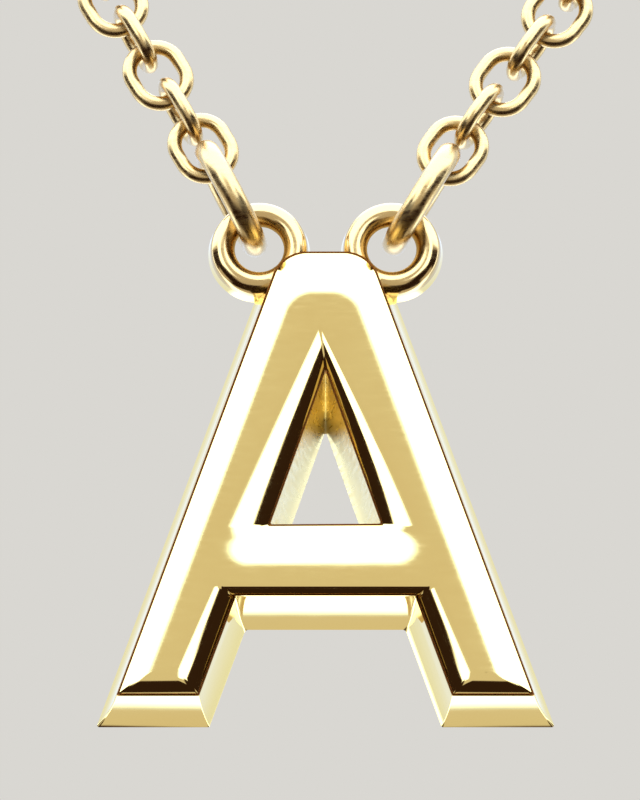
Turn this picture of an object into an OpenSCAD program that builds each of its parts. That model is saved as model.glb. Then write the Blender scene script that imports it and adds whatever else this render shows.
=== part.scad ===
// Letter A pendant on a fine cable chain, kept in the form that it has round a neck.
// Millimetres, +Z up, front towards -Y. The origin is at the nape, in the middle of the clasp.

/* [Letter] */
// Height of the front outline, foot to top
letter_h = 11.9; // [11.6:0.1:12.6]
// Half the width of the front outline at the feet
foot_out = 5.3; // [5.2:0.01:5.5]
// Width of a leg at the foot
leg_w = 2.1; // [2:0.05:2.2]
// Width of a leg beside the counter's base
leg_mid_w = 2.3; // [2.2:0.01:2.4]
// Half the width of the top before its corners are rounded
top_half = 1.12; // [1.1:0.02:1.4]
// Rounding of the two top corners
top_round = 0.9; // [0.85:0.05:1.1]
// Height of the crossbar's lower edge
bar_low = 2.6; // [2.3:0.05:2.65]
// Height of the crossbar from its lower to its upper edge
bar_w = 1.95; // [1.8:0.05:2.1]
// Distance from the counter's point up to the letter's top
top_web = 3.2; // [3:0.05:3.5]
// Thickness from the flat back to the crease round the front
wall_h = 1.45; // [1.1:0.05:1.6]
// How far the wall flares out from the crease to the back
flare = 0.36; // [0.2:0.02:0.44]
// Rise of the domed front above the crease
crown = 0.38; // [0.2:0.02:0.5]
// Width over which the front rises
crown_w = 0.68; // [0.5:0.02:0.68]

/* [Ears] */
// How far an ear's centre lies outside the top's corner
ear_out = 0.57; // [0.49:0.02:0.65]
// How far an ear's centre lies above the letter's top
ear_rise = 0.42; // [0.37:0.05:0.62]
// Diameter of an ear's hole
ear_hole = 1.24; // [1.2:0.02:1.3]
// Thickness of an ear's round wire
ear_wire = 0.62; // [0.5:0.02:0.66]
// Width of the plate's flange round an ear
ear_flange = 0.06; // [0.04:0.02:0.2]
// Height of an ear's wire centre above the flat back
ear_lift = 0.4; // [0.34:0.02:0.5]
// How far the letter hangs back from upright, so that its weight is under the ears
hang_tilt = 3.2; // [0:0.1:6]

/* [Jump rings] */
// Outer diameter of a jump ring
jump_d = 3.3; // [3:0.05:3.5]
// Thickness of a jump ring's wire
jump_wire = 0.62; // [0.5:0.02:0.64]
// Where a jump ring holds its ear, in degrees from the ear's top
hold_angle = 28; // [24:1:32]

/* [Chain] */
// Length of a chain link
link_l = 2.0; // [1.8:0.05:2.2]
// Width of a chain link
link_w = 1.7; // [1.5:0.05:1.75]
// Thickness of a chain link's wire
link_wire = 0.38; // [0.3:0.02:0.42]
// Diameter of the envelope of the chain that goes round the neck
chain_d = 1.7; // [1.2:0.1:2]

/* [Clasp] */
// Outer diameter of the clasp's ring
clasp_d = 5.5; // [5:0.1:6]
// Thickness of the clasp's ring
clasp_wire = 1.1; // [0.9:0.05:1.2]
// Outer diameter of the clasp's small loop
loop_d = 2.1; // [1.9:0.05:2.3]
// Thickness of the clasp's small loop
loop_wire = 0.6; // [0.5:0.05:0.65]

/* [Hidden] */
$fn = 48;

// running gap between rings that pass through each other
ring_gap = 0.08;
// gap between two chain links
link_gap = 0.06;
// gap between the end of the chain's envelope and what it leads to
end_gap = 0.12;
// tone of the polished yellow gold
gold = "#D9BF78";

// the pendant's swing axis lies this far in front of the nape and below it
reach = 100;
drop = 84;
axis_y = -reach;
axis_z = -drop;

// how far the letter's sides lean in for each unit of height
side_slope = (foot_out - top_half) / letter_h;
// half the distance between the legs at the feet, and half the crossbar's lower edge
foot_in = foot_out - leg_w;
bar_half = foot_in - bar_low * side_slope;
// the counter's base and point
bar_top = bar_low + bar_w;
counter_half = foot_out - bar_top * side_slope - leg_mid_w;
counter_top = letter_h - top_web;

// the ears' centres
ear_x = top_half + ear_out;
ear_z = letter_h + ear_rise;

// ear and ring radii, to the middle of their wires
ear_r = (ear_hole + ear_wire) / 2;
jump_r = (jump_d - jump_wire) / 2;
clasp_r = (clasp_d - clasp_wire) / 2;
loop_r = (loop_d - loop_wire) / 2;

// the point of an ear's wire that hangs in its jump ring
hold_x = ear_x + ear_r * sin(hold_angle);
hold_z = ear_z + ear_r * cos(hold_angle);

// Route of the chain, pendant to nape. Columns: left x, right x, y, z.
X_LEFT = 0;
X_RIGHT = 1;
Y = 2;
Z = 3;
ROUTE = [
    [-15.5, 18.5, -99, -60],
    [-22.5, 27, -98, -47.5],
    [-30, 35.5, -95.5, -35.5],
    [-38.8, 42.2, -89.5, -25],
    [-46.8, 48.3, -79.5, -16.5],
    [-51.1, 51.6, -66.5, -10.5],
    [-52.6, 52.6, -52, -6.5],
    [-50.7, 50.7, -37.5, -4],
    [-45.4, 45.4, -24, -2],
    [-36.7, 36.7, -12.5, -1],
    [-26, 26, -4.5, 0],
    [-13.8, 13.8, -0.5, 0]];

// Jump rings. Columns: side, sideways and backward lean for each unit of rise, turn about its length.
SIDE = 0;
OUT = 1;
BACK = 2;
TURN = 3;
LEFT = [-1, 0.5, 0.03, -7];
RIGHT = [1, 0.58, 0.03, 10];

function unit(v) = v / norm(v);
function lerp(a, b, t) = a + (b - a) * t;

// the direction that lies across a run and nearest to straight back
function across(d) = unit([0, 1, 0] - d[1] * d);

// a frame whose third axis is a ring's axle and whose second runs along the chain
function ring_frame(at, d, turn) =
    let (m = across(d),
        n = cross(d, m),
        side = m * cos(turn) + n * sin(turn),
        axle = cross(side, d))
    [[side[0], d[0], axle[0], at[0]],
        [side[1], d[1], axle[1], at[1]],
        [side[2], d[2], axle[2], at[2]],
        [0, 0, 0, 1]];

// where a jump ring hangs and how it leans
function jump_dir(s) = unit([s[SIDE] * s[OUT], s[BACK], 1]);
function jump_at(s) =
    [s[SIDE] * hold_x, axis_y, axis_z]
    + jump_dir(s) * (jump_r - jump_wire / 2 - ear_wire / 2 - ring_gap);
function jump_top(s) = jump_at(s) + jump_dir(s) * jump_r;

// route points of one side
function route(s) =
    [for (p = ROUTE) [p[s[SIDE] < 0 ? X_LEFT : X_RIGHT], p[Y], p[Z]]];

// the straight run of single links, from a jump ring towards the route's first point
function run_dir(s) = unit(route(s)[0] - jump_top(s));
link_half = (link_l - link_wire) / 2;
pitch = link_l - 2 * link_wire - link_gap;
first_link = link_half - jump_wire / 2 - link_wire / 2 - ring_gap;
function link_at(s, k) = jump_top(s) + run_dir(s) * (first_link + pitch * (k - 1));
links = 8;

// ends of the chain's envelope
function chain_start(s) =
    link_at(s, links) + run_dir(s) * (link_l / 2 + end_gap);
end_ring_x = clasp_r - clasp_wire / 2 - jump_wire / 2 - ring_gap + jump_r;
loop_x = -(clasp_r + clasp_wire / 2 + loop_r - 0.15);
function chain_end(s) = s[SIDE] < 0
    ? [loop_x - loop_d / 2 - end_gap, 0, 0]
    : [end_ring_x + jump_d / 2 + end_gap, 0, 0];

// a smooth curve through points p, at share t of the stretch after point i
function through(p, i, t) =
    let (last = len(p) - 1,
        a = p[max(i - 1, 0)],
        b = p[i],
        c = p[min(i + 1, last)],
        d = p[min(i + 2, last)])
    0.5 * (2 * b + (c - a) * t + (2 * a - 5 * b + 4 * c - d) * t * t
        + (3 * b - a - 3 * c + d) * t * t * t);
rings_per_stretch = 3;
function curve(p) = concat(
    [for (i = [0 : len(p) - 2], j = [0 : rings_per_stretch - 1])
        through(p, i, j / rings_per_stretch)],
    [p[len(p) - 1]]);

// a ring of points round a place on the curve, from the side that faces away from the neck
neck_middle = [0, -50, 0];
tube_sides = 8;
function tube_ring(c, i, r) =
    let (last = len(c) - 1,
        t = unit(c[min(i + 1, last)] - c[max(i - 1, 0)]),
        away = [c[i][0], c[i][1] - neck_middle[1], 0],
        n = unit(away - (away * t) * t),
        b = cross(t, n))
    [for (k = [0 : tube_sides - 1])
        let (a = 360 * k / tube_sides)
        c[i] + r * (cos(a) * n + sin(a) * b)];

// length of a list of points, for the chain's real length
function run_length(c, i = 0) =
    i >= len(c) - 1 ? 0 : norm(c[i + 1] - c[i]) + run_length(c, i + 1);

// A closed solid over rings that all have the same number of points. Its ends are
// divided into the convex faces in ends, which number the points of one ring.
module skin(rings, ends) {
    n = len(rings[0]);
    m = len(rings);
    polyhedron(
        points = [for (r = rings) each r],
        faces = concat(
            ends,
            [for (k = [0 : m - 2], i = [0 : n - 1])
                let (a = k * n + i, b = k * n + (i + 1) % n)
                each [[a, a + n, b + n], [a, b + n, b]]],
            [for (f = ends)
                [for (i = [len(f) - 1 : -1 : 0]) (m - 1) * n + f[i]]]),
        convexity = 10);
}
function whole_end(n) = [[for (i = [0 : n - 1]) i]];

// One corner of a counterclockwise outline, moved inwards by d and rounded.
function corner(p, i, d, round_r, steps) =
    let (n = len(p),
        e1 = unit(p[i] - p[(i + n - 1) % n]),
        e2 = unit(p[(i + 1) % n] - p[i]),
        in1 = [-e1[1], e1[0]],
        in2 = [-e2[1], e2[0]],
        at = p[i] + d * (in1 + in2) / (1 + in1 * in2),
        bend = atan2(e1[0] * e2[1] - e1[1] * e2[0], e1 * e2))
    round_r == 0 ? [at]
    : let (back = round_r * tan(bend / 2),
        middle = at - e1 * back + in1 * round_r)
        [for (j = [0 : steps])
            let (a = bend * j / steps,
                o = -round_r * in1)
            middle + [o[0] * cos(a) - o[1] * sin(a), o[0] * sin(a) + o[1] * cos(a)]];

LETTER = [
    [-foot_out, 0], [-foot_in, 0], [-bar_half, bar_low], [bar_half, bar_low],
    [foot_in, 0], [foot_out, 0], [top_half, letter_h], [-top_half, letter_h]];
BARS = [2, 3];
TOPS = [6, 7];
// corners of the feet and the crossbar are crisp at the crease and softer at the back
crisp = 0.04;
foot_soft = 0.2;
bar_soft = 0.3;
soft_steps = 3;
top_steps = 8;
function softness(i, d) =
    let (share = max(0, -d / flare))
    i == BARS[0] || i == BARS[1] ? -(crisp + bar_soft * share)
    : i == TOPS[0] || i == TOPS[1] ? top_round - d
    : crisp + foot_soft * share;
function letter_outline(d) =
    [for (i = [0 : len(LETTER) - 1])
        each corner(LETTER, i, d, softness(i, d), i >= TOPS[0] ? top_steps : soft_steps)];

COUNTER = [[-counter_half, bar_top], [counter_half, bar_top], [0, counter_top]];
counter_round = 0.04;
function counter_outline(d) =
    [for (i = [0 : len(COUNTER) - 1])
        each corner(COUNTER, i, -d, max(counter_round, counter_round + d), 6)];

// The section from back to front. Columns: how far in from the crease, height above the back.
IN = 0;
UP = 1;
bend_h = 0.6;
bend_flare = 0.16;
last_angle = 80;
function crown_at(a) =
    [crown_w * (1 - cos(a)) / (1 - cos(last_angle)), wall_h + crown * sin(a) / sin(last_angle)];
SECTION = concat(
    [[-flare, 0], [-bend_flare, bend_h]],
    [for (a = [0 : 10 : last_angle]) crown_at(a)]);

// The letter's ends are divided into each leg, the fan at each end of the crossbar, and the middle.
bar_first = 2 * (soft_steps + 1);
bar_mid = bar_first + soft_steps;
bar_last = bar_mid + 1 + soft_steps;
side_first = 6 * (soft_steps + 1);
side_last = len(letter_outline(0)) - 1;
LETTER_ENDS = concat(
    [[for (i = [0 : bar_first]) i], [side_last, 0, bar_first]],
    [for (i = [bar_first : bar_mid - 1]) [side_last, i, i + 1]],
    [concat([bar_mid, bar_mid + 1], [for (i = [side_first : side_last]) i])],
    [for (i = [bar_mid + 1 : bar_last - 1]) [side_first, i, i + 1]],
    [[for (i = [bar_last : side_first - 1]) i], [bar_last, side_first - 1, side_first]]);

// the letter without its counter, lying on its back
module letter_mass() {
    skin([for (c = SECTION) [for (q = letter_outline(c[IN])) [q[0], q[1], c[UP]]]],
        LETTER_ENDS);
}

// the counter, flared to match, and run past both faces
past = 0.2;
module counter_cut() {
    back_slope = (flare - bend_flare) / bend_h;
    front = crown_at(last_angle + 4);
    cut = concat(
        [[-flare - back_slope * past, -past]],
        [for (c = SECTION) if (c[UP] > 0) c],
        [front, [front[IN], front[UP] + past]]);
    skin([for (c = cut) [for (q = counter_outline(c[IN])) [q[0], q[1], c[UP]]]],
        whole_end(len(counter_outline(0))));
}

// a round ear: its wire, and the plate's flange round its outer side
module ear() {
    rotate_extrude()
        union() {
            translate([ear_r, ear_lift])
                circle(d = ear_wire);
            polygon([
                [ear_r + 0.1, 0],
                [ear_r + ear_wire / 2 + ear_flange, 0],
                [ear_r + ear_wire / 2 - 0.01, ear_lift + 0.06],
                [ear_r + 0.1, ear_lift + 0.06]]);
        }
}

// The letter, its flared edge and both ears are one casting.
module letter() {
    color(gold)
        translate([0, axis_y, axis_z])
            rotate([hang_tilt, 0, 0])
                rotate([90, 0, 0])
                    translate([0, -hold_z, -ear_lift]) {
                        difference() {
                            letter_mass();
                            counter_cut();
                            for (s = [-1, 1])
                                translate([s * ear_x, ear_z, -past])
                                    cylinder(d = ear_hole + 0.1, h = wall_h + crown + 2 * past);
                        }
                        for (s = [-1, 1])
                            translate([s * ear_x, ear_z, 0])
                                ear();
                    }
}

// a round wire ring in its own plane
module wire_ring(r, wire) {
    rotate_extrude()
        translate([r, 0])
            circle(d = wire);
}

module jump_ring(s) {
    color(gold)
        multmatrix(ring_frame(jump_at(s), jump_dir(s), s[TURN]))
            wire_ring(jump_r, jump_wire);
}

// a chain link in its own plane: two half rings and two straight sides
module link_shape() {
    end_r = (link_w - link_wire) / 2;
    straight = link_l - link_w;
    for (s = [0, 180])
        rotate([0, 0, s]) {
            translate([0, straight / 2, 0])
                rotate_extrude(angle = 180)
                    translate([end_r, 0])
                        circle(d = link_wire);
            translate([end_r, straight / 2, 0])
                rotate([90, 0, 0])
                    cylinder(d = link_wire, h = straight);
        }
}

// Every second link is turned a quarter.
module chain_link(s, k) {
    color(gold)
        multmatrix(ring_frame(link_at(s, k), run_dir(s), k % 2 == 1 ? 90 : 0))
            link_shape();
}

// the rest of the chain on one side, as its envelope
module chain_side(s) {
    c = curve(concat([chain_start(s)], route(s), [chain_end(s)]));
    color(gold)
        skin([for (i = [0 : len(c) - 1]) tube_ring(c, i, chain_d / 2)], whole_end(tube_sides));
}

module jump_ring_left() jump_ring(LEFT);
module jump_ring_right() jump_ring(RIGHT);
module link_left_1() chain_link(LEFT, 1);
module link_left_2() chain_link(LEFT, 2);
module link_left_3() chain_link(LEFT, 3);
module link_left_4() chain_link(LEFT, 4);
module link_left_5() chain_link(LEFT, 5);
module link_left_6() chain_link(LEFT, 6);
module link_left_7() chain_link(LEFT, 7);
module link_left_8() chain_link(LEFT, 8);
module link_right_1() chain_link(RIGHT, 1);
module link_right_2() chain_link(RIGHT, 2);
module link_right_3() chain_link(RIGHT, 3);
module link_right_4() chain_link(RIGHT, 4);
module link_right_5() chain_link(RIGHT, 5);
module link_right_6() chain_link(RIGHT, 6);
module link_right_7() chain_link(RIGHT, 7);
module link_right_8() chain_link(RIGHT, 8);
module chain_left() chain_side(LEFT);
module chain_right() chain_side(RIGHT);

// The hidden clasp is one plain piece: a ring with a small loop on its side.
module clasp() {
    color(gold)
        union() {
            rotate([90, 0, 0])
                wire_ring(clasp_r, clasp_wire);
            translate([loop_x, 0, 0])
                rotate([90, 0, 0])
                    wire_ring(loop_r, loop_wire);
        }
}

// the ring on the chain's other end, which the clasp holds
module end_ring() {
    color(gold)
        translate([end_ring_x, 0, 0])
            wire_ring(jump_r, jump_wire);
}

letter();
jump_ring_left();
jump_ring_right();
link_left_1();
link_left_2();
link_left_3();
link_left_4();
link_left_5();
link_left_6();
link_left_7();
link_left_8();
link_right_1();
link_right_2();
link_right_3();
link_right_4();
link_right_5();
link_right_6();
link_right_7();
link_right_8();
chain_left();
chain_right();
clasp();
end_ring();
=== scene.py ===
# A polished capital A on a fine cable chain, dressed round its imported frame.
# Metres, +Z up, front towards -Y. The origin is at the nape, in the middle of the clasp.
from math import acos, atan2, cos, hypot, pi, radians, sin, tan
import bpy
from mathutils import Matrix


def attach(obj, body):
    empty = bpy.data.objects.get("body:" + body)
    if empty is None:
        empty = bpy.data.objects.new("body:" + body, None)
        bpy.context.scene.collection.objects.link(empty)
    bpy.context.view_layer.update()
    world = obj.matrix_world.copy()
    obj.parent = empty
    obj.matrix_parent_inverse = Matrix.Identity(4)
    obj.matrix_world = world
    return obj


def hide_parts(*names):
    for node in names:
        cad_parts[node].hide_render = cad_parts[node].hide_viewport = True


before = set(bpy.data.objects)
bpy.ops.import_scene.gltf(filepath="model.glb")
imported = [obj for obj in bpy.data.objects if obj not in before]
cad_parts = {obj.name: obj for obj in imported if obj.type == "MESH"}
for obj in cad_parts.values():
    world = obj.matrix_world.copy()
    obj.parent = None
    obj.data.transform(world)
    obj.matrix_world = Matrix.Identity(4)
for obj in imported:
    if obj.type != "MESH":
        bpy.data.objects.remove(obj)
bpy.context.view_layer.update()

from types import SimpleNamespace

import bmesh
import bpy
from bpy.props import FloatProperty, FloatVectorProperty, IntProperty, PointerProperty
from mathutils import Matrix, Vector

bl_info = {
    "name": "Initial pendant necklace",
    "version": (1, 0, 0),
    "blender": (4, 5, 0),
    "location": "3D View > Sidebar > Necklace",
    "description": "Builds a letter A pendant on a cable chain round its packed frame",
    "category": "Object",
}

MM = 0.001
NECKLACE = "necklace"
PENDANT = "pendant"


# Sizes and colours


def length(name, description, millimetres):
    """A length property. Its default is given in millimetres."""
    return FloatProperty(name=name, description=description, default=millimetres * MM, min=0.0,
                         precision=5, unit="LENGTH", subtype="DISTANCE")


def angle(name, description, degrees):
    """An angle property. Its default is given in degrees."""
    return FloatProperty(name=name, description=description, default=radians(degrees),
                         subtype="ANGLE")


def amount(name, description, default, top=1.0):
    """A plain number from 0 to top."""
    return FloatProperty(name=name, description=description, default=default, min=0.0, max=top)


def colour(name, description, code):
    """A colour property, from an sRGB hex value."""
    return FloatVectorProperty(name=name, description=description, default=linear(code), size=3,
                               min=0.0, max=1.0, subtype="COLOR")


def linear(code):
    """An sRGB hex value as linear red, green and blue."""
    parts = [int(code[i:i + 2], 16) / 255 for i in (1, 3, 5)]
    return tuple(c / 12.92 if c <= 0.04045 else ((c + 0.055) / 1.055) ** 2.4 for c in parts)


class LetterSizes(bpy.types.PropertyGroup):
    """The cast letter and its two ears."""
    letter_h: length("Height", "Front outline, foot to top", 11.9)
    foot_out: length("Foot half width", "Half the width of the front outline at the feet", 5.3)
    leg_w: length("Leg width", "Width of a leg at the foot", 2.1)
    leg_mid_w: length("Leg width above", "Width of a leg beside the counter's base", 2.3)
    top_half: length("Top half width", "Half the width of the top before it is rounded", 1.12)
    top_round: length("Top rounding", "Rounding of the two top corners", 0.9)
    bar_low: length("Crossbar height", "Height of the crossbar's lower edge", 2.6)
    bar_w: length("Crossbar width", "Crossbar from its lower to its upper edge", 1.95)
    top_web: length("Top web", "From the counter's point up to the top", 3.2)
    wall_h: length("Wall", "From the flat back to the crease round the front", 1.45)
    flare: length("Flare", "How far the wall flares out towards the back", 0.36)
    crown: length("Dome height", "Rise of the domed front above the crease", 0.36)
    slope_in: length("Slope inside", "Dome's slope along the legs' inner edges", 0.8)
    slope_foot: length("Slope at feet", "Dome's slope along the feet", 0.47)
    slope_bend: length("Slope at bends", "Dome's slope where a leg meets the crossbar below", 0.6)
    slope_wide: length("Slope in counter, left", "Dome's slope at the counter's left base corner", 1.12)
    slope_narrow: length("Slope in counter, right", "Dome's slope at its right base corner", 0.95)
    slope_left: length("Slope left", "Dome's slope along the left leg's outer edge", 0.71)
    slope_right: length("Slope right", "Dome's slope along the right leg's outer edge", 0.89)
    slope_top: length("Slope above", "Dome's slope below the top and above the crossbar's middle", 1.25)
    slope_bar: length("Slope under bar", "Dome's slope along the crossbar's lower edge", 0.24)
    slope_peak: length("Slope at point, left", "Dome's slope on the left of the counter's point", 0.63)
    slope_point: length("Slope at point, right", "Dome's slope on the right of that point", 0.35)
    bar_lift: length("Crossbar crease", "Rise of the crease under the crossbar", 0.22)
    left_lift: length("Counter crease, left", "Rise of the crease at the left base corner", 0.09)
    right_lift: length("Counter crease, right", "Rise of the crease at the right base corner", 0.14)
    groove: length("Crease width", "Width of the fine groove round the dome", 0.055)
    ear_out: length("Ear offset", "How far an ear's centre lies outside the top's corner", 0.57)
    ear_rise: length("Ear rise", "How far an ear's centre lies above the top", 0.42)
    ear_hole: length("Ear hole", "Diameter of an ear's hole", 1.24)
    ear_wire: length("Ear wire", "Thickness of an ear's round wire", 0.62)
    ear_flange: length("Ear flange", "Width of the plate's flange round an ear", 0.06)
    ear_lift: length("Ear lift", "Height of an ear's wire centre above the back", 0.4)
    hang_tilt: angle("Hang angle", "How far the letter hangs back", 3.2)


class ChainSizes(bpy.types.PropertyGroup):
    """Jump rings, links, and the clasp's ring and loop."""
    jump_d: length("Jump ring", "Outer diameter of a jump ring", 3.3)
    jump_wire: length("Jump ring wire", "Thickness of a jump ring's wire", 0.62)
    hold_angle: angle("Hold angle", "Where a jump ring holds its ear, out from the ear's top", 28)
    link_l: length("Link length", "Length of a chain link", 2.0)
    link_w: length("Link width", "Width of a chain link", 1.7)
    link_wire: length("Link wire", "Thickness of a chain link's wire", 0.38)
    clasp_d: length("Clasp", "Outer diameter of the clasp's ring", 5.5)
    clasp_wire: length("Clasp wire", "Thickness of the clasp's ring", 1.1)
    loop_d: length("Clasp loop", "Outer diameter of the clasp's small loop", 2.1)
    loop_wire: length("Clasp loop wire", "Thickness of the clasp's small loop", 0.6)
    near_links: IntProperty(name="Near links", description="Links on each side made finely",
                            default=8, min=1)


class GoldFinish(bpy.types.PropertyGroup):
    """The yellow gold and its finishes."""
    tone: colour("Gold", "Colour of polished 14 karat yellow gold", "#E8D088")
    rose: colour("Gold, warm", "Warmer tone where the alloy is a little redder", "#E4C67C")
    satin: colour("Gold, satin", "Paler tone of the brushed walls in the counter", "#EBD79C")
    # Painted shade: a darker gold than the letter's, for the ears, rings and links.
    shade_tone: colour("Gold, painted shade", "Darker tone of the ears, rings and links: painted shade",
                    "#C7A870")
    # Painted shade: a dark brown for the groove's bottom, so that the crease round the dome looks dark.
    skin: colour("Groove's painted shade", "Brown painted at the bottom of the groove as shade", "#B8894A")
    roughness: amount("Polish", "Roughness of the polished faces", 0.07)
    satin_roughness: amount("Satin", "Roughness inside the counter", 0.3)
    ear_roughness: amount("Ears' polish", "Roughness of the ears", 0.16)
    wire_roughness: amount("Wire polish", "Roughness of the rings and links", 0.28)
    hand_wave: length("Hand polish wave", "Size of the soft waves left by polishing by hand", 1.6)
    polish_line: length("Polishing lines", "Spacing of the fine polishing lines", 0.09)


class StudioLook(bpy.types.PropertyGroup):
    """Floor, light tent and camera."""
    floor: colour("Floor", "Warm grey of the floor, which the strong cool light makes pale",
                  "#7E7364")
    backdrop: colour("Backdrop", "Colour of the plain backdrop", "#D9D7D2")
    tent_white: amount("White panels", "Brightness of the white panels", 5.0, 20.0)
    tent_plain: amount("Plain panels", "Brightness of the tent in front", 0.85, 20.0)
    tent_back: amount("Back panels", "Brightness of the tent at the back", 1.5, 20.0)
    tent_dark: amount("Dark gaps", "Brightness of the dark gaps", 0.035, 20.0)
    gap: colour("Gaps' colour", "Colour of the room behind the dark gaps", "#FFBC9C")
    panel: colour("White panels' colour", "Colour of the daylight lamps behind the white panels",
                  "#D6E6FF")
    tent_turn: angle("Tent turn", "How far the tent is turned", 4)
    floor_drop: length("Floor drop", "How far the floor lies below the nape", 400)
    floor_r: length("Floor radius", "Radius of the floor", 9000)
    camera_far: length("Camera distance", "From the pendant's swing line to the camera", 650)
    camera_low: angle("Camera below", "Angle from which the camera looks up", 22)
    frame_h: length("Frame height", "What the picture shows from bottom to top", 20.4)


# The part's own frame, as in its source. Shapes are made in millimetres, as there, and become
# metres when a piece is finished.

# How far the swing line lies in front of the nape and below it
REACH = 100
DROP = 84
# Play between a ring and what hangs in it, between two links, and at both ends of the chain's route
RING_GAP = 0.08
LINK_GAP = 0.06
END_GAP = 0.12
# Route of the chain, pendant to nape. Columns: left x, right x, y, z.
ROUTE = (
    (-15.5, 18.5, -99, -60),
    (-22.5, 27, -98, -47.5),
    (-30, 35.5, -95.5, -35.5),
    (-38.8, 42.2, -89.5, -25),
    (-46.8, 48.3, -79.5, -16.5),
    (-51.1, 51.6, -66.5, -10.5),
    (-52.6, 52.6, -52, -6.5),
    (-50.7, 50.7, -37.5, -4),
    (-45.4, 45.4, -24, -2),
    (-36.7, 36.7, -12.5, -1),
    (-26, 26, -4.5, 0),
    (-13.8, 13.8, -0.5, 0),
)
# Each side's sign, its jump ring's lean outwards and backwards for each unit of rise, and the degrees
# by which the ring is turned about its length
SIDES = {
    "left": SimpleNamespace(sign=-1, out=0.5, back=0.03, turn=-7),
    "right": SimpleNamespace(sign=1, out=0.58, back=0.03, turn=10),
}


def in_millimetres(group):
    """A group's lengths in millimetres, with its angles and counts as they are."""
    made = {}
    for key in group.__annotations__:
        value = getattr(group, key)
        made[key] = value / MM if group.bl_rna.properties[key].unit == "LENGTH" else value
    return SimpleNamespace(**made)


def letter_sizes():
    return in_millimetres(bpy.context.scene.necklace_letter)


def chain_sizes():
    return in_millimetres(bpy.context.scene.necklace_chain)


def gold_finish():
    return bpy.context.scene.necklace_gold


def studio_look():
    return bpy.context.scene.necklace_studio


def ear_centre():
    """Half the distance between the ears, and their height above the feet."""
    a = letter_sizes()
    return a.top_half + a.ear_out, a.letter_h + a.ear_rise


def hold_point():
    """The point of the right ear's wire that hangs in its jump ring, in the letter's plane."""
    a = letter_sizes()
    c = chain_sizes()
    x, z = ear_centre()
    r = (a.ear_hole + a.ear_wire) / 2
    return x + r * sin(c.hold_angle), z + r * cos(c.hold_angle)


def jump_radius():
    """Radius of a jump ring's middle line."""
    c = chain_sizes()
    return (c.jump_d - c.jump_wire) / 2


def jump_direction(side):
    """The direction in which a jump ring hangs, from the ear up."""
    return Vector((side.sign * side.out, side.back, 1)).normalized()


def jump_place(side):
    """Centre of a jump ring."""
    a = letter_sizes()
    c = chain_sizes()
    up = jump_radius() - c.jump_wire / 2 - a.ear_wire / 2 - RING_GAP
    return Vector((side.sign * hold_point()[0], -REACH, -DROP)) + jump_direction(side) * up


def jump_top(side):
    """The middle of a jump ring's wire where the first link hangs in it."""
    return jump_place(side) + jump_direction(side) * jump_radius()


def route_points(side):
    """The route's points on one side."""
    column = 0 if side.sign < 0 else 1
    return [Vector((p[column], p[2], p[3])) for p in ROUTE]


def run_direction(side):
    """The direction in which the near links run up from their jump ring."""
    return (route_points(side)[0] - jump_top(side)).normalized()


def link_half():
    """From a link's centre to the middle of its wire at an end."""
    c = chain_sizes()
    return (c.link_l - c.link_wire) / 2


def link_pitch():
    """From one link's centre to the next one's."""
    c = chain_sizes()
    return c.link_l - 2 * c.link_wire - LINK_GAP


def link_place(side, number):
    """Centre of a near link, counted from 1 at the jump ring."""
    c = chain_sizes()
    first = link_half() - c.jump_wire / 2 - c.link_wire / 2 - RING_GAP
    return jump_top(side) + run_direction(side) * (first + link_pitch() * (number - 1))


def across(d):
    """The direction across a run that lies nearest to straight back."""
    return (Vector((0, 1, 0)) - d * d.y).normalized()


def ring_matrix(at, d, side):
    """Places a ring's plane: d runs along the chain, side lies across it in the ring."""
    axle = side.cross(d)
    m = Matrix((side, d, axle)).transposed().to_4x4()
    m.translation = at
    return m


def turned(d, angle):
    """The direction across a run, turned about it."""
    m = across(d)
    return m * cos(angle) + d.cross(m) * sin(angle)


# Mesh helpers

# Degrees between two faces from which their edge is sharp: as a rule, on the letter, on far links
SHARP = 35
LETTER_SHARP = 28
FAR_SHARP = 80
# Millimetres within which the points of a boolean's result are one
WELD = 0.0002
# Steps round a ring and round its wire: a jump ring, a near link, a far link, the clasp, its loop
RING_STEPS = (96, 28)
NEAR_STEPS = (56, 20)
FAR_STEPS = (14, 6)
CLASP_STEPS = (96, 32)
LOOP_STEPS = (64, 24)


def as_mesh(name, bm):
    """A mesh of a bmesh's faces, with their normals outwards. Frees the bmesh."""
    bmesh.ops.recalc_face_normals(bm, faces=bm.faces[:])
    mesh = bpy.data.meshes.new(name)
    bm.to_mesh(mesh)
    bm.free()
    return mesh


def add_object(name, data):
    """An object in the scene, at the origin."""
    thing = bpy.data.objects.new(name, data)
    bpy.context.scene.collection.objects.link(thing)
    return thing


def finish_piece(name, bm, materials, body, nodes, sharp=SHARP):
    """Turns a bmesh into a smooth piece that rides on its body and stands for its CAD nodes."""
    bmesh.ops.scale(bm, vec=(MM, MM, MM), verts=bm.verts[:])
    mesh = as_mesh(name, bm)
    mesh.shade_smooth()
    mesh.set_sharp_from_angle(angle=radians(sharp))
    piece = add_object(name, mesh)
    for material in materials:
        mesh.materials.append(material)
    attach(piece, body)
    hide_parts(*nodes)


def spun_ring(bm, radius, wire, matrix, steps, around):
    """A round wire ring, spun from a circle."""
    start = Matrix.Translation((radius, 0, 0)) @ Matrix.Rotation(radians(90), 4, "X")
    made = bmesh.ops.create_circle(bm, cap_ends=False, segments=around, radius=wire / 2, matrix=start)
    spin_round(bm, made["verts"], matrix, steps)


def spin_round(bm, verts, matrix, steps):
    """Spins a closed profile a full turn about Z, then puts the new solid in its place."""
    edges = {e for v in verts for e in v.link_edges}
    before = set(bm.verts) - set(verts)
    bmesh.ops.spin(bm, geom=list(verts) + list(edges), cent=(0, 0, 0), axis=(0, 0, 1),
                   dvec=(0, 0, 0), angle=2 * pi, steps=steps, use_merge=True)
    fresh = [v for v in bm.verts if v not in before]
    bmesh.ops.transform(bm, matrix=matrix, verts=fresh)


def temporary(name, bm):
    """An object that is used for a boolean and then removed."""
    return add_object(name, as_mesh(name, bm))


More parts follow.
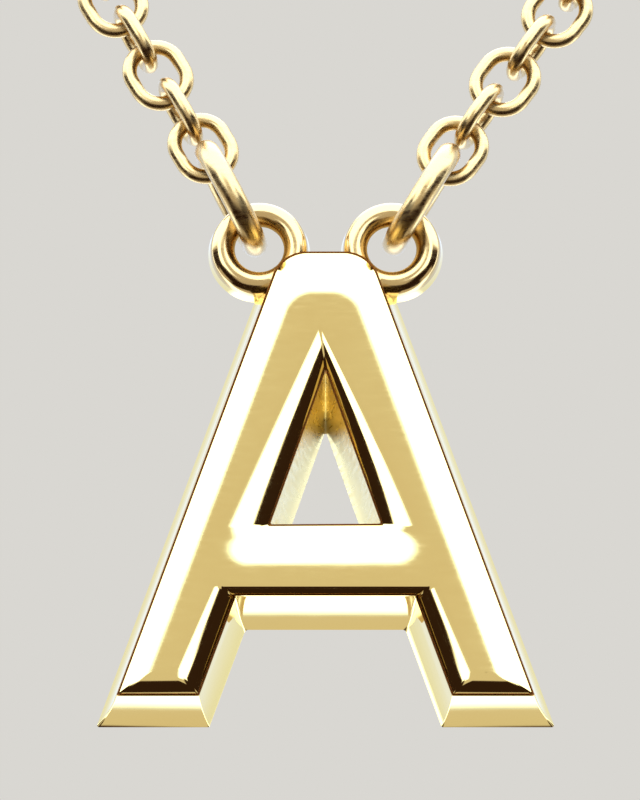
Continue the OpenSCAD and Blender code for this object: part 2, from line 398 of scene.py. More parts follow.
def combine(base, tool, operation):
    """Applies one exact boolean to base, and removes both objects. Returns the new bmesh."""
    cut = base.modifiers.new("combine", "BOOLEAN")
    cut.operation = operation
    cut.solver = "EXACT"
    cut.object = tool
    graph = bpy.context.evaluated_depsgraph_get()
    mesh = bpy.data.meshes.new_from_object(base.evaluated_get(graph))
    bm = bmesh.new()
    bm.from_mesh(mesh)
    bpy.data.meshes.remove(mesh)
    for thing in (base, tool):
        data = thing.data
        bpy.data.objects.remove(thing)
        bpy.data.meshes.remove(data)
    bmesh.ops.remove_doubles(bm, verts=bm.verts[:], dist=WELD)
    bmesh.ops.dissolve_degenerate(bm, edges=bm.edges[:], dist=WELD)
    return bm


# The letter


def corner(points, i, inward, round_r, steps):
    """One corner of an outline that runs counterclockwise, moved inwards and rounded."""
    here = points[i]
    e1 = (here - points[i - 1]).normalized()
    e2 = (points[(i + 1) % len(points)] - here).normalized()
    in1 = Vector((-e1.y, e1.x))
    in2 = Vector((-e2.y, e2.x))
    at = here + (in1 + in2) * (inward / (1 + in1.dot(in2)))
    bend = atan2(e1.x * e2.y - e1.y * e2.x, e1.dot(e2))
    middle = at - e1 * (round_r * tan(bend / 2)) + in1 * round_r
    made = []
    for j in range(steps + 1):
        a = bend * j / steps
        o = -round_r * in1
        made.append(middle + Vector((o.x * cos(a) - o.y * sin(a), o.x * sin(a) + o.y * cos(a))))
    return made


def meet(a, b, c, d):
    """Where the line through a and b meets the line through c and d."""
    u, v, w = b - a, d - c, c - a
    return a + u * ((w.x * v.y - w.y * v.x) / (u.x * v.y - u.y * v.x))


def ridge(corners, widths):
    """The line on which the dome levels out. Each edge has its slope's width at its two ends."""
    lines = []
    for i, (start, end) in enumerate(widths):
        a, b = corners[i], corners[(i + 1) % len(corners)]
        inward = Vector((a.y - b.y, b.x - a.x)).normalized()
        lines.append((a + inward * start, b + inward * end))
    return [meet(*lines[i - 1], *lines[i]) for i in range(len(corners))]


# The letter's materials: on its outside, on its counter's walls, in the groove, on its ears
POLISHED = 0
SATIN = 1
# The groove's material is painted shade.
GROOVE = 2
EAR = 3

# Corner roundings at the back, at the crease and on the dome. Those of inside corners are negative.
FOOT_OUT_BENDS = (0.05, 0.04, 0.05)
FOOT_IN_BENDS = (0.05, 0.04, 0.3)
BAR_BENDS = (-0.12, -0.04, -0.14)
COUNTER_BENDS = (0.04, 0.04, 0.8)
POINT_BENDS = (0.04, 0.04, 0.05)
# The top corners' rounding on the dome, as a share of that at the crease
TOP_SHARE = 0.75
# Steps round a corner
FOOT_STEPS = 6
BAR_STEPS = 10
COUNTER_STEPS = 14
TOP_STEPS = 20


def outer_shape():
    """The letter's outer edge, counterclockwise from the left foot's outer corner."""
    a = letter_sizes()
    slope = (a.foot_out - a.top_half) / a.letter_h
    foot_in = a.foot_out - a.leg_w
    bar_half = foot_in - a.bar_low * slope
    half = [(a.foot_out, 0), (foot_in, 0), (bar_half, a.bar_low)]
    left = [Vector((-x, y)) for x, y in half]
    right = [Vector(p) for p in reversed(half)]
    corners = left + right + [Vector((a.top_half, a.letter_h)), Vector((-a.top_half, a.letter_h))]
    under = (a.slope_bar, a.slope_bar)
    foot = (a.slope_foot, a.slope_foot)
    widths = [foot, (a.slope_in, a.slope_bend), under, (a.slope_bend, a.slope_in), foot,
              (a.slope_right, a.slope_right),
              (a.slope_top, a.slope_top), (a.slope_left, a.slope_left)]
    top_bends = (a.top_round, a.top_round, TOP_SHARE * a.top_round)
    bends = [FOOT_OUT_BENDS, FOOT_IN_BENDS, BAR_BENDS, BAR_BENDS, FOOT_IN_BENDS, FOOT_OUT_BENDS,
             top_bends, top_bends]
    steps = [FOOT_STEPS, FOOT_STEPS, BAR_STEPS, BAR_STEPS, FOOT_STEPS, FOOT_STEPS, TOP_STEPS, TOP_STEPS]
    lifts = {2: (0, a.bar_lift), 3: (a.bar_lift, 0)}
    return SimpleNamespace(corners=corners, ridge=ridge(corners, widths), bends=bends, steps=steps,
                           lifts=lifts, way=-1)


def counter_shape():
    """The counter's edge, counterclockwise from its left base corner."""
    a = letter_sizes()
    slope = (a.foot_out - a.top_half) / a.letter_h
    base = a.bar_low + a.bar_w
    half = a.foot_out - base * slope - a.leg_mid_w
    corners = [Vector((-half, base)), Vector((half, base)), Vector((0, a.letter_h - a.top_web))]
    widths = [(-a.slope_top, -a.slope_top), (-a.slope_narrow, -a.slope_point),
              (-a.slope_peak, -a.slope_wide)]
    lifts = {0: (a.left_lift, a.left_lift), 1: (a.right_lift, a.right_lift)}
    return SimpleNamespace(corners=corners, ridge=ridge(corners, widths),
                           bends=[COUNTER_BENDS, COUNTER_BENDS, POINT_BENDS],
                           steps=[COUNTER_STEPS] * 3, lifts=lifts, way=1)


# The wall from the back to the crease. Columns: how far out as a share of the flare, how high
# as a share of the wall.
WALL = ((1, 0), (0.8, 0.09), (0.58, 0.23), (0.38, 0.42), (0.22, 0.62), (0.1, 0.82), (0.02, 0.97))
# Numbers of the two bands of faces in the groove. The bands before them are the wall's.
GROOVE_BANDS = range(len(WALL), len(WALL) + 2)
# The groove's bottom below the crease, and the dome's foot above it, as shares of the groove's width
GROOVE_DEPTH = 1.6
DOME_FOOT = 0.3
# The dome is an ellipse from which its steepest part is left off, up to this angle.
DOME_START = radians(28)
DOME_STEPS = 18


def letter_section():
    """From the flat back to the dome's top: how far out, what share of the slope in, and how high."""
    a = letter_sizes()
    made = [(a.flare * out, 0, a.wall_h * up) for out, up in WALL]
    g = a.groove
    made += [(0, 0, a.wall_h), (-g, 0, a.wall_h - GROOVE_DEPTH * g)]
    foot = DOME_FOOT * g
    for i in range(DOME_STEPS + 1):
        t = DOME_START + (radians(90) - DOME_START) * i / DOME_STEPS
        share = 1 - cos(t) / cos(DOME_START)
        rise = (sin(t) - sin(DOME_START)) / (1 - sin(DOME_START))
        made.append((-g, share, a.wall_h + foot + (a.crown - foot) * rise))
    return made


def shape_ring(shape, out, share, up):
    """The points of one ring of the letter's surface."""
    a = letter_sizes()
    corners = [p.lerp(q, share) for p, q in zip(shape.corners, shape.ridge)]
    flared = max(0.0, out) / a.flare
    made = []
    for i in range(len(corners)):
        back, crease, dome = shape.bends[i]
        r = crease + (back - crease) * flared + (dome - crease) * share
        steps = shape.steps[i]
        first, last = shape.lifts.get(i, (0, 0))
        for j, p in enumerate(corner(corners, i, shape.way * out, r, steps)):
            lift = first + (last - first) * j / steps
            if up <= a.wall_h:
                z = up * (a.wall_h + lift) / a.wall_h
            else:
                z = a.wall_h + lift + (up - a.wall_h) * (a.crown - lift) / a.crown
            made.append((p.x, p.y, z))
    return made


def band_material(number, wall):
    """The material of one band of faces, counted from the back. The wall's is given."""
    if number in GROOVE_BANDS:
        return GROOVE
    return wall if number < GROOVE_BANDS.start else POLISHED


def skin_rings(bm, shape, section, wall):
    """Extrudes an outline from ring to ring of a section. Returns the first and last ring's edges."""
    ring = [bm.verts.new(p) for p in shape_ring(shape, *section[0])]
    edges = [bm.edges.new((ring[i - 1], ring[i])) for i in range(len(ring))]
    first = edges
    for number, part in enumerate(section[1:]):
        made = bmesh.ops.extrude_edge_only(bm, edges=edges)["geom"]
        for face in [g for g in made if isinstance(g, bmesh.types.BMFace)]:
            face.material_index = band_material(number, wall)
        fresh = {g for g in made if isinstance(g, bmesh.types.BMVert)}
        edges = [g for g in made if isinstance(g, bmesh.types.BMEdge)
                 and g.verts[0] in fresh and g.verts[1] in fresh]
        following = []
        for old, p in zip(ring, shape_ring(shape, *part)):
            new = next(e.other_vert(old) for e in old.link_edges if e.other_vert(old) in fresh)
            new.co = p
            following.append(new)
        ring = following
    return first, edges


def letter_matrix():
    """From the letter lying on its back, feet at the origin, to the letter as it hangs."""
    a = letter_sizes()
    upright = Matrix.Rotation(radians(90), 4, "X")
    lying = Matrix.Translation((0, -hold_point()[1], -a.ear_lift))
    return (Matrix.Translation((0, -REACH, -DROP)) @ Matrix.Rotation(a.hang_tilt, 4, "X")
            @ upright @ lying)


# Where an ear's section leaves the round wire: its angle outside, and inside its place as a share of
# the wire's radius
EAR_START = radians(12)
EAR_FOOT = 0.3
EAR_STEPS = 26
EAR_TURN_STEPS = 96
# The flange's cove. Columns: how far in as a share of its width, how high as a share of the ear's lift
COVE = ((0, 0), (0.3, 0.25), (0.75, 0.7))
# How much wider than the ear's hole the plate is drilled
DRILL_SPARE = 0.05
# How near to the wire's surface an ear's faces lie, as a share of the wire's radius
EAR_NEAR = 0.1


def ear_profile(bm):
    """Half of an ear's section: its round wire, and a coved flange on the plate."""
    a = letter_sizes()
    r = (a.ear_hole + a.ear_wire) / 2
    w = a.ear_wire / 2
    inner = EAR_FOOT * w
    edge = w + a.ear_flange
    stop = 2 * pi - acos(inner / w)
    points = []
    for i in range(EAR_STEPS + 1):
        t = EAR_START + (stop - EAR_START) * i / EAR_STEPS
        points.append((r + w * cos(t), a.ear_lift + w * sin(t)))
    points.append((r + inner, 0))
    points += [(r + edge - share * a.ear_flange, up * a.ear_lift) for share, up in COVE]
    verts = [bm.verts.new((x, 0, z)) for x, z in points]
    for i in range(len(verts)):
        bm.edges.new((verts[i - 1], verts[i]))
    return verts


def dress_ears(bm):
    """Gives the ears' material to the faces on their round wires. The letter lies on its back."""
    a = letter_sizes()
    x, z = ear_centre()
    r = (a.ear_hole + a.ear_wire) / 2
    w = a.ear_wire / 2
    for face in bm.faces:
        p = face.calc_center_median()
        off = hypot(hypot(abs(p.x) - x, p.y - z) - r, p.z - a.ear_lift)
        if abs(off - w) < EAR_NEAR * w:
            face.material_index = EAR


class NECKLACE_OT_letter(bpy.types.Operator):
    """Casts the letter A with its flared wall, domed front and two ears"""
    bl_idname = "necklace.letter"
    bl_label = "Letter"

    def execute(self, context):
        a = letter_sizes()
        bm = bmesh.new()
        section = letter_section()
        back_out, front_out = skin_rings(bm, outer_shape(), section, POLISHED)
        back_in, front_in = skin_rings(bm, counter_shape(), section, SATIN)
        for rim in (back_out + back_in, front_out + front_in):
            bmesh.ops.triangle_fill(bm, use_beauty=True, use_dissolve=False, edges=rim)
        body = temporary("letter_body", bm)
        x, z = ear_centre()
        holes = bmesh.new()
        drill = a.ear_hole / 2 + DRILL_SPARE
        depth = 3 * a.wall_h
        for sign in (-1, 1):
            bmesh.ops.create_cone(holes, cap_ends=True, segments=EAR_TURN_STEPS, radius1=drill,
                                  radius2=drill, depth=depth,
                                  matrix=Matrix.Translation((sign * x, z, depth / 4)))
        drilled = combine(body, temporary("ear_holes", holes), "DIFFERENCE")
        ears = bmesh.new()
        for sign in (-1, 1):
            place = Matrix.Translation((sign * x, z, 0))
            spin_round(ears, ear_profile(ears), place, EAR_TURN_STEPS)
        whole = combine(temporary("letter_drilled", drilled), temporary("ears", ears), "UNION")
        dress_ears(whole)
        bmesh.ops.transform(whole, matrix=letter_matrix(), verts=whole.verts[:])
        # In the order of their numbers
        materials = [polished_gold_casting(), satin_gold_casting(), groove_painted_shade(),
                     rough_shaded_gold_casting()]
        finish_piece("letter_a_casting", whole, materials, PENDANT, ["letter"],
                     LETTER_SHARP)
        return {"FINISHED"}


# Rings, links and clasp

# How far the clasp's small loop sinks into its ring, as they are one casting
LOOP_SINK = 0.15
# Steps of the chain's path between two points of its route
PATH_STEPS = 60


def link_mesh(steps, around):
    """A chain link in its own plane: a ring whose halves are moved apart."""
    c = chain_sizes()
    bm = bmesh.new()
    radius = (c.link_w - c.link_wire) / 2
    turn = Matrix.Rotation(pi / steps, 4, "Z")
    spun_ring(bm, radius, c.link_wire, turn, steps, around)
    straight = (c.link_l - c.link_w) / 2
    for end in (-1, 1):
        half = [v for v in bm.verts if v.co.y * end > 0]
        bmesh.ops.translate(bm, vec=(0, end * straight, 0), verts=half)
    return as_mesh("link_pattern", bm)


def add_copy(bm, mesh, matrix):
    """Adds a copy of a mesh to a bmesh, in its place."""
    before = len(bm.verts)
    bm.from_mesh(mesh)
    bm.verts.ensure_lookup_table()
    bmesh.ops.transform(bm, matrix=matrix, verts=bm.verts[before:])


class NECKLACE_OT_jump_rings(bpy.types.Operator):
    """Makes the two jump rings that hold the ears"""
    bl_idname = "necklace.jump_rings"
    bl_label = "Jump rings"

    def execute(self, context):
        c = chain_sizes()
        for name, side in SIDES.items():
            d = jump_direction(side)
            bm = bmesh.new()
            place = ring_matrix(jump_place(side), d, turned(d, radians(side.turn)))
            spun_ring(bm, jump_radius(), c.jump_wire, place, *RING_STEPS)
            finish_piece("jump_ring_" + name + "_wire", bm, [rough_shaded_gold_wire()], NECKLACE,
                         ["jump_ring_" + name])
        return {"FINISHED"}


class NECKLACE_OT_near_links(bpy.types.Operator):
    """Makes the first links on each side, those next to the pendant"""
    bl_idname = "necklace.near_links"
    bl_label = "Near links"

    def execute(self, context):
        pattern = link_mesh(*NEAR_STEPS)
        for name, side in SIDES.items():
            d = run_direction(side)
            for number in range(1, chain_sizes().near_links + 1):
                bm = bmesh.new()
                across_link = turned(d, radians(90 if number % 2 else 0))
                add_copy(bm, pattern, ring_matrix(link_place(side, number), d, across_link))
                node = "link_%s_%d" % (name, number)
                finish_piece(node + "_wire", bm, [rough_shaded_gold_wire()], NECKLACE, [node])
        bpy.data.meshes.remove(pattern)
        return {"FINISHED"}


def clasp_places():
    """X of the clasp loop's centre and of the end ring's centre."""
    c = chain_sizes()
    clasp_r = (c.clasp_d - c.clasp_wire) / 2
    loop_r = (c.loop_d - c.loop_wire) / 2
    loop_x = -(clasp_r + c.clasp_wire / 2 + loop_r - LOOP_SINK)
    ring_x = clasp_r - c.clasp_wire / 2 - c.jump_wire / 2 - RING_GAP + jump_radius()
    return loop_x, ring_x


def smooth_point(p, i, t):
    """A smooth curve through points p, at share t of the stretch after point i."""
    a, b = p[max(i - 1, 0)], p[i]
    c, d = p[min(i + 1, len(p) - 1)], p[min(i + 2, len(p) - 1)]
    return 0.5 * (2 * b + (c - a) * t + (2 * a - 5 * b + 4 * c - d) * t * t
                  + (3 * b - a - 3 * c + d) * t * t * t)


def chain_path(side):
    """Fine points from the last near link to the link that holds the clasp's loop or the end ring."""
    c = chain_sizes()
    last = link_place(side, c.near_links)
    start = last + run_direction(side) * (c.link_l / 2 + END_GAP)
    loop_x, ring_x = clasp_places()
    if side.sign < 0:
        end = Vector((loop_x - c.loop_d / 2 - END_GAP, 0, 0))
        wire_x, wire = loop_x - (c.loop_d - c.loop_wire) / 2, c.loop_wire
    else:
        end = Vector((ring_x + c.jump_d / 2 + END_GAP, 0, 0))
        wire_x, wire = ring_x + jump_radius(), c.jump_wire
    hang = link_half() - wire / 2 - c.link_wire / 2 - RING_GAP
    final = Vector((wire_x + side.sign * hang, 0, 0))
    points = [start] + route_points(side) + [end]
    curve = [smooth_point(points, i, j / PATH_STEPS)
             for i in range(len(points) - 1) for j in range(PATH_STEPS)]
    return [last] + curve + [end, final]


def along(path, count):
    """count + 1 places and directions at even steps along a path."""
    run = [0.0]
    for a, b in zip(path, path[1:]):
        run.append(run[-1] + (b - a).length)
    places = []
    i = 0
    for k in range(count + 1):
        s = run[-1] * k / count
        while i < len(path) - 2 and run[i + 1] < s:
            i += 1
        span = run[i + 1] - run[i]
        places.append(path[i].lerp(path[i + 1], (s - run[i]) / span if span else 0.0))
    directions = []
    for k in range(count + 1):
        a, b = places[max(k - 1, 0)], places[min(k + 1, count)]
        directions.append((b - a).normalized())
    return places, directions


class NECKLACE_OT_chain(bpy.types.Operator):
    """Makes the rest of the chain on each side, link by link, from the near links to the clasp"""
    bl_idname = "necklace.chain"
    bl_label = "Chain"

    def execute(self, context):
        pattern = link_mesh(*FAR_STEPS)
        for name, side in SIDES.items():
            path = chain_path(side)
            whole = sum((b - a).length for a, b in zip(path, path[1:]))
            count = round(whole / link_pitch())
            places, directions = along(path, count)
            quarter = radians(90)
            first_turn = radians(90 if chain_sizes().near_links % 2 else 0)
            sideways = turned(directions[0], first_turn)
            carried = [sideways]
            for d in directions[1:]:
                sideways = (sideways - d * sideways.dot(d)).normalized()
                carried.append(sideways)
            # The last link lies across the clasp's loop on the left, across the end ring on the right.
            wanted = Vector((0, 1, 0)) if side.sign < 0 else Vector((0, 0, 1))
            d = directions[-1]
            off = atan2(carried[-1].cross(wanted).dot(d), carried[-1].dot(wanted))
            off = (off - count * quarter + quarter) % (2 * quarter) - quarter
            bm = bmesh.new()
            for k in range(1, count + 1):
                a = off * k / count + (k % 2) * quarter
                d = directions[k]
                across_link = carried[k] * cos(a) + d.cross(carried[k]) * sin(a)
                add_copy(bm, pattern, ring_matrix(places[k], d, across_link))
            finish_piece("chain_" + name + "_links", bm, [rough_shaded_gold_wire()], NECKLACE,
                         ["chain_" + name], sharp=FAR_SHARP)
        bpy.data.meshes.remove(pattern)
        return {"FINISHED"}


class NECKLACE_OT_clasp(bpy.types.Operator):
    """Makes the plain clasp at the nape and the end ring that it holds"""
    bl_idname = "necklace.clasp"
    bl_label = "Clasp"

    def execute(self, context):
        c = chain_sizes()
        loop_x, ring_x = clasp_places()
        upright = Matrix.Rotation(radians(90), 4, "X")
        ring = bmesh.new()
        spun_ring(ring, (c.clasp_d - c.clasp_wire) / 2, c.clasp_wire, upright, *CLASP_STEPS)
        loop = bmesh.new()
        spun_ring(loop, (c.loop_d - c.loop_wire) / 2, c.loop_wire,
                  Matrix.Translation((loop_x, 0, 0)) @ upright, *LOOP_STEPS)
        whole = combine(temporary("clasp_ring", ring), temporary("clasp_loop", loop), "UNION")
        finish_piece("clasp_body", whole, [rough_shaded_gold_wire()], NECKLACE, ["clasp"])
        end = bmesh.new()
        spun_ring(end, jump_radius(), c.jump_wire, Matrix.Translation((ring_x, 0, 0)), *RING_STEPS)
        finish_piece("end_ring_wire", end, [rough_shaded_gold_wire()], NECKLACE, ["end_ring"])
        return {"FINISHED"}


# Materials

# Millimetres: heights of the soft waves in a casting and in wire, heights of the fine lines left by a
# wheel and by a brush, sizes of the alloy's drift in tone, the grain of the groove's painted shade, the
# card's tooth
CASTING_WAVE = 0.003
WIRE_WAVE = 0.002
WHEEL_LINE = 0.0002
BRUSH_LINE = 0.0001
DRIFT = 4
GRAIN = 0.05
TOOTH = 3
# Sockets of a Mix node that mixes colours
MIX_A = 6
MIX_B = 7
MIX_RESULT = 2


def add_node(tree, kind, settings=None, links=None, **values):
    """Adds one node, sets its properties and input values, and links inputs from other sockets."""
    node = tree.nodes.new(kind)
    for key, value in (settings or {}).items():
        setattr(node, key, value)
    for key, value in values.items():
        node.inputs[key.replace("_", " ")].default_value = value
    for key, socket in (links or {}).items():
        tree.links.new(socket, node.inputs[key])
    return node


def new_material(name):
    """A material with an empty node tree."""
    made = bpy.data.materials.new(name)
    made.use_nodes = True
    made.node_tree.nodes.clear()
    return made


def gold_surface(name, wave_height, line_height, roughness, plain=None):
    """14 karat gold: a mirror that waves a little, with fine lines from a wheel, brush or barrel."""
    made = bpy.data.materials.get(name)
    if made:
        return made
    g = gold_finish()
    made = new_material(name)
    tree = made.node_tree
    place = add_node(tree, "ShaderNodeTexCoord").outputs["Object"]
    # The alloy's tone drifts over a few millimetres.
    drift = add_node(tree, "ShaderNodeTexNoise", links={"Vector": place},
                     Scale=1 / (DRIFT * MM), Detail=2.0, Roughness=0.5)
    tone = add_node(tree, "ShaderNodeMix", {"data_type": "RGBA"}, {"Factor": drift.outputs["Fac"]})
    tone.inputs[MIX_A].default_value = (*(plain or g.tone), 1)
    tone.inputs[MIX_B].default_value = (*(plain or g.rose), 1)
    # Soft waves from polishing by hand
    wave = add_node(tree, "ShaderNodeTexNoise", links={"Vector": place},
                    Scale=1 / g.hand_wave, Detail=1.0, Roughness=0.4)
    waved = add_node(tree, "ShaderNodeBump", None, {"Height": wave.outputs["Fac"]},
                     Strength=1.0, Distance=wave_height * MM)
    # Fine polishing lines, drawn coarser than real ones so that they show at all
    stretch = add_node(tree, "ShaderNodeMapping", None, {"Vector": place}, Scale=(1, 1, 6))
    lines = add_node(tree, "ShaderNodeTexNoise", links={"Vector": stretch.outputs["Vector"]},
                     Scale=1 / (6 * g.polish_line), Detail=3.0, Roughness=0.6)
    lined = add_node(tree, "ShaderNodeBump", None,
                     {"Height": lines.outputs["Fac"], "Normal": waved.outputs["Normal"]},
                     Strength=1.0, Distance=line_height * MM)
    # The roughness goes up and down with the lines.
    polish = add_node(tree, "ShaderNodeMapRange", None, {"Value": lines.outputs["Fac"]})
    for key, value in {"From Min": 0.3, "From Max": 0.7, "To Min": 0.7 * roughness,
                       "To Max": 1.4 * roughness}.items():
        polish.inputs[key].default_value = value
    shader = add_node(tree, "ShaderNodeBsdfPrincipled", None,
                      {"Base Color": tone.outputs[MIX_RESULT], "Roughness": polish.outputs["Result"],
                       "Normal": lined.outputs["Normal"]}, Metallic=1.0)
    add_node(tree, "ShaderNodeOutputMaterial", None, {"Surface": shader.outputs["BSDF"]})
    return made


def polished_gold_casting():
    """Cast yellow gold, polished by hand: reflections bend softly along its faces."""
    return gold_surface("cast_yellow_gold_polished", CASTING_WAVE, WHEEL_LINE,
                        gold_finish().roughness)


def satin_gold_casting():
    """The same casting inside its counter, where only a soft brush reaches: paler and less bright."""
    return gold_surface("cast_yellow_gold_satin", CASTING_WAVE, BRUSH_LINE,
                        gold_finish().satin_roughness, gold_finish().satin)


def groove_painted_shade():
    """The bottom of the groove, painted a rough dark brown: painted shade that darkens the crease round
    the dome.
    """
    made = new_material("groove_painted_shade_brown")
    tree = made.node_tree
    place = add_node(tree, "ShaderNodeTexCoord").outputs["Object"]
    grain = add_node(tree, "ShaderNodeTexNoise", links={"Vector": place},
                     Scale=1 / (GRAIN * MM), Detail=3.0)
    grained = add_node(tree, "ShaderNodeBump", None, {"Height": grain.outputs["Fac"]},
                       Strength=0.5, Distance=0.005 * MM)
    shader = add_node(tree, "ShaderNodeBsdfPrincipled", None, {"Normal": grained.outputs["Normal"]},
                      Metallic=1.0, Roughness=0.6)
    shader.inputs["Base Color"].default_value = (*gold_finish().skin, 1)
    add_node(tree, "ShaderNodeOutputMaterial", None, {"Surface": shader.outputs["BSDF"]})
    return made


def rough_shaded_gold_casting():
    """The casting's ears, only polished in a barrel, as the buffing wheel doesn't reach them: rougher,
    with a darker tone that is painted shade.
    """
    return gold_surface("cast_yellow_gold_rough_painted_shade", CASTING_WAVE, WHEEL_LINE,
                        gold_finish().ear_roughness, gold_finish().shade_tone)


def rough_shaded_gold_wire():
    """Drawn yellow gold wire, polished in a barrel: even, but rougher than the buffed letter, with a
    darker tone that is painted shade.
    """
    return gold_surface("drawn_yellow_gold_wire_painted_shade", WIRE_WAVE, WHEEL_LINE,
                        gold_finish().wire_roughness, gold_finish().shade_tone)


# Stage

# The light tent's panels and gaps, painted one over the other. Columns: brightness, start and end in
# degrees round from the front, lower and upper edge in degrees up from the horizon. Each edge is soft,
# between two angles.
PANELS = (
    ("tent_white", None, None, (17, 21), None),
    ("tent_white", (14, 19), (41, 46), (-14, -8), None),
    ("tent_dark", (41, 46), (101, 109), (-16, -9), (12, 17)),
    ("tent_dark", (24, 32), (72, 82), None, (-9, -2)),
    ("tent_white", (104, 112), None, (-42, -30), None),
    ("tent_back", (110, 118), None, (-24, -14), (44, 52)),
)
# The dark below the tent: its upper edge in degrees, and its end behind as a share of the way back
GROUND_HIGH = (-42, -35)
GROUND_END = (0.2, 0.3)
# Colour of the tent's cloth, and the brightness from which the light takes on the cloth's colour and
# then the white panels'
CLOTH = (1.0, 0.99, 0.97)
CLOTH_LEVEL = (0.0, 0.5)
PANEL_LEVEL = (0.9, 1.3)
# Size of the photograph in pixels, and the pixel at which the swing line's middle stands
PICTURE_W = 640
PICTURE_H = 800
AXIS_ROW = 219.0
AXIS_COLUMN = 325.5


def light_tent():
    """A white tent with dark gaps, as jewellery is lit: polished gold shows its form by both.

    The camera itself sees a plain pale backdrop.
    """
    s = studio_look()
    world = bpy.data.worlds.new("light_tent")
    world.use_nodes = True
    tree = world.node_tree
    tree.nodes.clear()
    way = add_node(tree, "ShaderNodeTexCoord").outputs["Generated"]
    turned_way = add_node(tree, "ShaderNodeVectorRotate", {"rotation_type": "Z_AXIS"},
                          {"Vector": way}, Angle=s.tent_turn)
    part = add_node(tree, "ShaderNodeSeparateXYZ", None, {"Vector": turned_way.outputs["Vector"]})

    def math(operation, a, b=None):
        node = add_node(tree, "ShaderNodeMath", {"operation": operation})
        for i, value in enumerate((a, b)):
            if value is None:
                continue
            if isinstance(value, (int, float)):
                node.inputs[i].default_value = value
            else:
                tree.links.new(value, node.inputs[i])
        return node.outputs[0]

    def above(value, low, high):
        """0 below low, 1 above high, smooth between."""
        node = add_node(tree, "ShaderNodeMapRange", {"interpolation_type": "SMOOTHSTEP"},
                        {"Value": value})
        node.inputs["From Min"].default_value = low
        node.inputs["From Max"].default_value = high
        return node.outputs["Result"]

    def below(value, low, high):
        """1 below low, 0 above high, smooth between."""
        return math("SUBTRACT", 1.0, above(value, low, high))

    def painted(base, level, *masks):
        """Base, with a level painted over it where all masks are 1."""
        mask = masks[0]
        for other in masks[1:]:
            mask = math("MULTIPLY", mask, other)
        return math("ADD", base, math("MULTIPLY", mask, math("SUBTRACT", level, base)))

    back = part.outputs["Y"]
    front = math("MULTIPLY", back, -1.0)
    sideways = math("ABSOLUTE", part.outputs["X"])
    azimuth = math("DEGREES", math("ARCTAN2", sideways, front))
    elevation = math("DEGREES", math("ARCSINE", part.outputs["Z"]))
    level = s.tent_plain
    for name, start, end, low, high in PANELS:
        edges = ((above, azimuth, start), (below, azimuth, end), (above, elevation, low),
                 (below, elevation, high))
        masks = [side(value, *pair) for side, value, pair in edges if pair]
        level = painted(level, getattr(s, name), *masks)
    level = painted(level, s.tent_dark, below(elevation, *GROUND_HIGH), below(back, *GROUND_END))
    warm = add_node(tree, "ShaderNodeMix", {"data_type": "RGBA"},
                    {"Factor": above(level, *CLOTH_LEVEL)})
    warm.inputs[MIX_A].default_value = (*s.gap, 1)
    warm.inputs[MIX_B].default_value = (*CLOTH, 1)
    tint = add_node(tree, "ShaderNodeMix", {"data_type": "RGBA"},
                    {"Factor": above(level, *PANEL_LEVEL)})
    tree.links.new(warm.outputs[MIX_RESULT], tint.inputs[MIX_A])
    tint.inputs[MIX_B].default_value = (*s.panel, 1)
    shine = add_node(tree, "ShaderNodeBackground", None,
                     {"Strength": level, "Color": tint.outputs[MIX_RESULT]})
    plain = add_node(tree, "ShaderNodeBackground")
    plain.inputs["Color"].default_value = (*s.backdrop, 1)
    seen = add_node(tree, "ShaderNodeLightPath").outputs["Is Camera Ray"]
    either = add_node(tree, "ShaderNodeMixShader", None, {"Fac": seen})
    tree.links.new(shine.outputs["Background"], either.inputs[1])
    tree.links.new(plain.outputs["Background"], either.inputs[2])
    add_node(tree, "ShaderNodeOutputWorld", None, {"Surface": either.outputs["Shader"]})
    bpy.context.scene.world = world
    bpy.context.scene.view_settings.view_transform = "Standard"


def pale_floor():
    """Matt grey card, which looks pale in this light.

    It is clear from below, because the photograph is taken from below.
    """
    made = new_material("matt_grey_card")
    tree = made.node_tree
    place = add_node(tree, "ShaderNodeTexCoord").outputs["Object"]
    tooth = add_node(tree, "ShaderNodeTexNoise", links={"Vector": place},
                     Scale=1 / (TOOTH * MM), Detail=3.0)
    bumped = add_node(tree, "ShaderNodeBump", None, {"Height": tooth.outputs["Fac"]},
                      Strength=0.2, Distance=0.1 * MM)
    card = add_node(tree, "ShaderNodeBsdfPrincipled", None, {"Normal": bumped.outputs["Normal"]},
                    Roughness=0.9)
    card.inputs["Base Color"].default_value = (*studio_look().floor, 1)
    clear = add_node(tree, "ShaderNodeBsdfTransparent")
    behind = add_node(tree, "ShaderNodeNewGeometry").outputs["Backfacing"]
    mixed = add_node(tree, "ShaderNodeMixShader", None, {"Fac": behind})
    tree.links.new(card.outputs["BSDF"], mixed.inputs[1])
    tree.links.new(clear.outputs["BSDF"], mixed.inputs[2])
    add_node(tree, "ShaderNodeOutputMaterial", None, {"Surface": mixed.outputs["Shader"]})
    return made


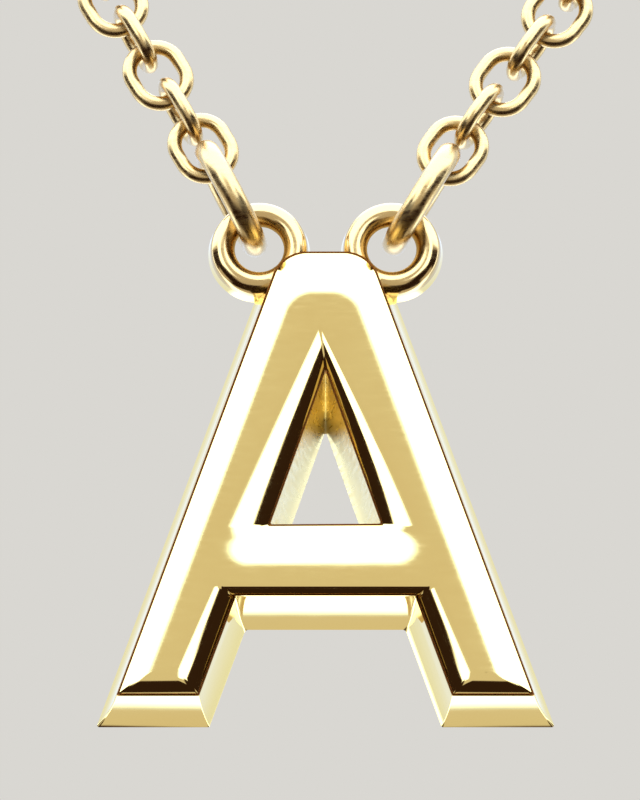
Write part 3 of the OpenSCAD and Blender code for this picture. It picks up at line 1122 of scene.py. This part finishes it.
class NECKLACE_OT_stage(bpy.types.Operator):
    """Lays the floor, lights the piece and sets the camera"""
    bl_idname = "necklace.stage"
    bl_label = "Stage"

    def execute(self, context):
        s = studio_look()
        bm = bmesh.new()
        bmesh.ops.create_circle(bm, cap_ends=True, segments=64, radius=s.floor_r,
                                matrix=Matrix.Translation((0, 0, -s.floor_drop)))
        for face in bm.faces:
            if face.normal.z < 0:
                face.normal_flip()
        mesh = bpy.data.meshes.new("floor")
        bm.to_mesh(mesh)
        bm.free()
        mesh.materials.append(pale_floor())
        floor = add_object("floor", mesh)
        floor.visible_glossy = False
        light_tent()

        swing = Vector((0, -REACH, -DROP)) * MM
        forward = Vector((0, cos(s.camera_low), sin(s.camera_low)))
        upward = Vector((0, -sin(s.camera_low), cos(s.camera_low)))
        # The picture's middle, at the same distance as the swing line
        pixel = s.frame_h / PICTURE_H
        aim = (swing + upward * (pixel * (AXIS_ROW - PICTURE_H / 2))
               + Vector((1, 0, 0)) * (pixel * (PICTURE_W / 2 - AXIS_COLUMN)))
        data = bpy.data.cameras.new("camera")
        data.sensor_fit = "AUTO"
        data.sensor_width = 36.0
        data.lens = data.sensor_width * s.camera_far / s.frame_h
        data.clip_start = 0.01
        data.clip_end = 100.0
        camera = add_object("camera", data)
        camera.location = aim - forward * s.camera_far
        camera.rotation_euler = forward.to_track_quat("-Z", "Y").to_euler()
        bpy.context.scene.camera = camera
        return {"FINISHED"}


class NECKLACE_PT_sidebar(bpy.types.Panel):
    """Lists the necklace's sizes and pieces"""
    bl_label = "Necklace"
    bl_idname = "NECKLACE_PT_sidebar"
    bl_space_type = "VIEW_3D"
    bl_region_type = "UI"
    bl_category = "Necklace"

    def draw(self, context):
        for step in STEPS:
            self.layout.operator(step.bl_idname)
        for name in SETTINGS:
            group = getattr(context.scene, name)
            box = self.layout.box()
            for key in group.__annotations__:
                box.prop(group, key)


SETTINGS = {
    "necklace_letter": LetterSizes,
    "necklace_chain": ChainSizes,
    "necklace_gold": GoldFinish,
    "necklace_studio": StudioLook,
}
STEPS = (NECKLACE_OT_letter, NECKLACE_OT_jump_rings, NECKLACE_OT_near_links, NECKLACE_OT_chain,
         NECKLACE_OT_clasp, NECKLACE_OT_stage)
CLASSES = (*SETTINGS.values(), *STEPS, NECKLACE_PT_sidebar)


def register():
    for made in CLASSES:
        bpy.utils.register_class(made)
    for name, group in SETTINGS.items():
        setattr(bpy.types.Scene, name, PointerProperty(type=group))


def unregister():
    for name in SETTINGS:
        delattr(bpy.types.Scene, name)
    for made in reversed(CLASSES):
        bpy.utils.unregister_class(made)


def main():
    register()
    for step in STEPS:
        group, name = step.bl_idname.split(".")
        getattr(getattr(bpy.ops, group), name)()


if __name__ == "__main__":
    main()
